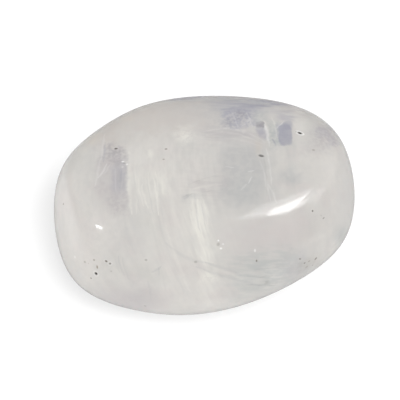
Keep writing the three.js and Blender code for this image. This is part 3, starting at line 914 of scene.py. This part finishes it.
# Each light stands towards a turn and a tilt from the point of the stone under a pixel, where the polish
# mirrors it. Sizes are in metres, and roll is in degrees. A dim edge of a softbox is only mirrored.
Light = namedtuple("Light", "highlight toward distance width height roll only_mirrored setting")
RIGHT_HIGHLIGHT, LEFT_HIGHLIGHT = (284.5, 208), (99.5, 227.5)
LIGHTS = {
    "softbox": Light(RIGHT_HIGHLIGHT, Toward(2.6, 56.8), 0.5, 0.118, 0.175, 0, False, "key_brightness"),
    "softbox foot": Light(RIGHT_HIGHLIGHT, Toward(-1, 43.4), 0.51, 0.055, 0.08, 4, True, "foot_brightness"),
    "softbox edge": Light(RIGHT_HIGHLIGHT, Toward(14, 61.6), 0.51, 0.165, 0.3, -28, True, "fade_brightness"),
    "softbox ends": Light(RIGHT_HIGHLIGHT, Toward(1.0, 52), 0.52, 0.115, 0.6, 2, True, "far_fade_brightness"),
    "glint light": Light(LEFT_HIGHLIGHT, Toward(-160.3, 25), 0.5, 0.078, 0.024, 43, False, "glint_brightness"),
}
TABLE_LIGHT = Light(RIGHT_HIGHLIGHT, Toward(-66, 60), 0.6, 0.21, 0.21, 0, False, "table_light_brightness")

# Mirrored in the stone's polish, the table is bright in two patches and dim behind the stone, in metres.
Patch = namedtuple("Patch", "middle half glow")
BRIGHT_PATCHES = {
    "left": Patch((-0.085, 0.006), (0.05, 0.026), "left_patch_glow"),
    "front": Patch((-0.004, -0.022), (0.012, 0.012), "front_patch_glow"),
}
DIM_FROM, DIM_TO = 0.02, 0.045


def white_to_camera(n, seen, mirrored, otherwise):
    """One strength for what the camera sees, one for what the stone's polish mirrors and one for all else."""
    path = n.add("ShaderNodeLightPath").outputs
    strength = n.add("ShaderNodeMix", data_type="FLOAT")
    n.feed(strength.inputs[0], path["Is Glossy Ray"])
    n.feed(strength.inputs[2], otherwise)
    n.feed(strength.inputs[3], mirrored)
    final = n.add("ShaderNodeMix", data_type="FLOAT")
    n.feed(final.inputs[0], path["Is Camera Ray"])
    n.feed(final.inputs[2], strength.outputs[0])
    n.feed(final.inputs[3], seen)
    return final.outputs[0]


def add_table(context, settings):
    """A white table that glows a little. Mirrored in the stone, it is brighter on the left."""
    side = settings.table_side / 2
    mesh = bpy.data.meshes.new("table_top")
    corners = [(x * side, y * side, LOW.z) for x, y in ((-1, -1), (1, -1), (1, 1), (-1, 1))]
    mesh.from_pydata(corners, [], [(0, 1, 2, 3)])
    material = bpy.data.materials.new("white table")
    material.use_nodes = True
    n = Nodes(material.node_tree)
    shader = material.node_tree.nodes["Principled BSDF"]
    shader.inputs["Base Color"].default_value = (*settings.table, 1)
    shader.inputs["Roughness"].default_value = 0.9
    shader.inputs["Specular IOR Level"].default_value = 0
    shader.inputs["Emission Color"].default_value = (1, 1, 1, 1)
    place = n.split(n.add("ShaderNodeTexCoord").outputs["Object"])
    dim = n.math("MULTIPLY", n.smooth(place[1], DIM_FROM, DIM_TO), settings.back_dimming)
    mirrored = n.math("SUBTRACT", settings.mirrored_glow, dim)
    for patch in BRIGHT_PATCHES.values():
        aside = n.math("DIVIDE", n.math("SUBTRACT", place[0], patch.middle[0]), patch.half[0])
        ahead = n.math("DIVIDE", n.math("SUBTRACT", place[1], patch.middle[1]), patch.half[1])
        away = n.math("ADD", n.math("POWER", aside, 2.0), n.math("POWER", ahead, 2.0))
        bright = n.math("MULTIPLY", n.smooth(away, 1.8, 0.0), getattr(settings, patch.glow))
        mirrored = n.math("ADD", mirrored, bright)
    n.feed(shader.inputs["Emission Strength"], white_to_camera(n, settings.glow, mirrored, settings.glow))
    mesh.materials.append(material)
    table = bpy.data.objects.new("table_top", mesh)
    context.scene.collection.objects.link(table)
    return table


def add_sky(context, settings):
    """An even white light all round, a little stronger from the left. The polish mirrors a dimmer room."""
    world = bpy.data.worlds.new("white room")
    world.use_nodes = True
    n = Nodes(world.node_tree)
    background = world.node_tree.nodes["Background"]
    background.inputs["Color"].default_value = (1, 1, 1, 1)
    toward = n.split(n.add("ShaderNodeTexCoord").outputs["Generated"])
    lit = n.math("SUBTRACT", 1.0, n.math("MULTIPLY", toward[0], settings.left_lean))
    lit = n.math("SUBTRACT", lit, n.math("MULTIPLY", toward[1], settings.front_lean))
    lit = n.math("MULTIPLY", lit, settings.sky)
    room = n.math("MULTIPLY", n.smooth(toward[2], -0.2, 0.5), settings.mirrored_room)
    n.feed(background.inputs["Strength"], white_to_camera(n, settings.backdrop, room, lit))
    context.scene.world = world


def add_light(context, settings, surface, name, light):
    """A softbox that faces the stone."""
    point, _ = on_stone(surface, light.highlight)
    outward = facing(light.toward)
    lamp = bpy.data.lights.new(name, "AREA")
    lamp.shape = "RECTANGLE"
    lamp.size = light.width
    lamp.size_y = light.height
    lamp.energy = getattr(settings, light.setting) * math.pi * light.width * light.height
    holder = bpy.data.objects.new(name, lamp)
    holder.visible_diffuse = not light.only_mirrored
    holder.location = point + outward * light.distance
    roll = Matrix.Rotation(math.radians(light.roll), 3, "Z")
    holder.rotation_euler = (outward.to_track_quat("Z", "Y").to_matrix() @ roll).to_euler()
    context.scene.collection.objects.link(holder)
    return holder


def add_camera(context):
    eye, _ = camera_place()
    lens = bpy.data.cameras.new("photograph view")
    lens.lens = LENS_MM
    lens.sensor_width = SENSOR_MM
    lens.clip_start = 0.01
    camera = bpy.data.objects.new("photograph view", lens)
    turn = Matrix((RIGHT, UPWARD, TOWARD)).transposed()
    camera.matrix_world = Matrix.Translation(eye) @ turn.to_4x4()
    context.scene.collection.objects.link(camera)
    context.scene.camera = camera


class MOONSTONE_OT_stage(bpy.types.Operator):
    """Set up the white table, the soft light and the camera"""

    bl_idname = "moonstone.stage"
    bl_label = "Table, light and camera"

    def execute(self, context):
        settings = context.scene.moonstone_stage
        ball = unit_ball()
        ball.verts.index_update()
        directions = directions_of(ball)
        surface = surface_of(Seat(context.scene.moonstone, directions).place(directions), ball)
        ball.free()
        table_only = bpy.data.collections.new("lit by the table light")
        table_only.objects.link(add_table(context, settings))
        add_sky(context, settings)
        for name, light in LIGHTS.items():
            add_light(context, settings, surface, name, light)
        table_light = add_light(context, settings, surface, "table light", TABLE_LIGHT)
        table_light.light_linking.receiver_collection = table_only
        add_camera(context)
        context.scene.view_settings.view_transform = "Standard"
        return {"FINISHED"}


class MOONSTONE_PT_panel(bpy.types.Panel):
    """Lists the stone's and the stage's settings"""

    bl_idname = "MOONSTONE_PT_panel"
    bl_label = "Rainbow Moonstone"
    bl_space_type = "VIEW_3D"
    bl_region_type = "UI"
    bl_category = "Moonstone"

    def draw(self, context):
        for settings, operator in (
            (context.scene.moonstone, MOONSTONE_OT_stone),
            (context.scene.moonstone_stage, MOONSTONE_OT_stage),
        ):
            box = self.layout.box()
            box.operator(operator.bl_idname)
            for name in settings.__annotations__:
                box.prop(settings, name)


CLASSES = (
    MoonstoneSettings,
    MoonstoneStageSettings,
    MOONSTONE_OT_stone,
    MOONSTONE_OT_stage,
    MOONSTONE_PT_panel,
)


def register():
    for item in CLASSES:
        bpy.utils.register_class(item)
    bpy.types.Scene.moonstone = bpy.props.PointerProperty(type=MoonstoneSettings)
    bpy.types.Scene.moonstone_stage = bpy.props.PointerProperty(type=MoonstoneStageSettings)


def unregister():
    del bpy.types.Scene.moonstone_stage
    del bpy.types.Scene.moonstone
    for item in reversed(CLASSES):
        bpy.utils.unregister_class(item)


def main():
    register()
    bpy.ops.moonstone.stone()
    bpy.ops.moonstone.stage()


if __name__ == "__main__":
    main()
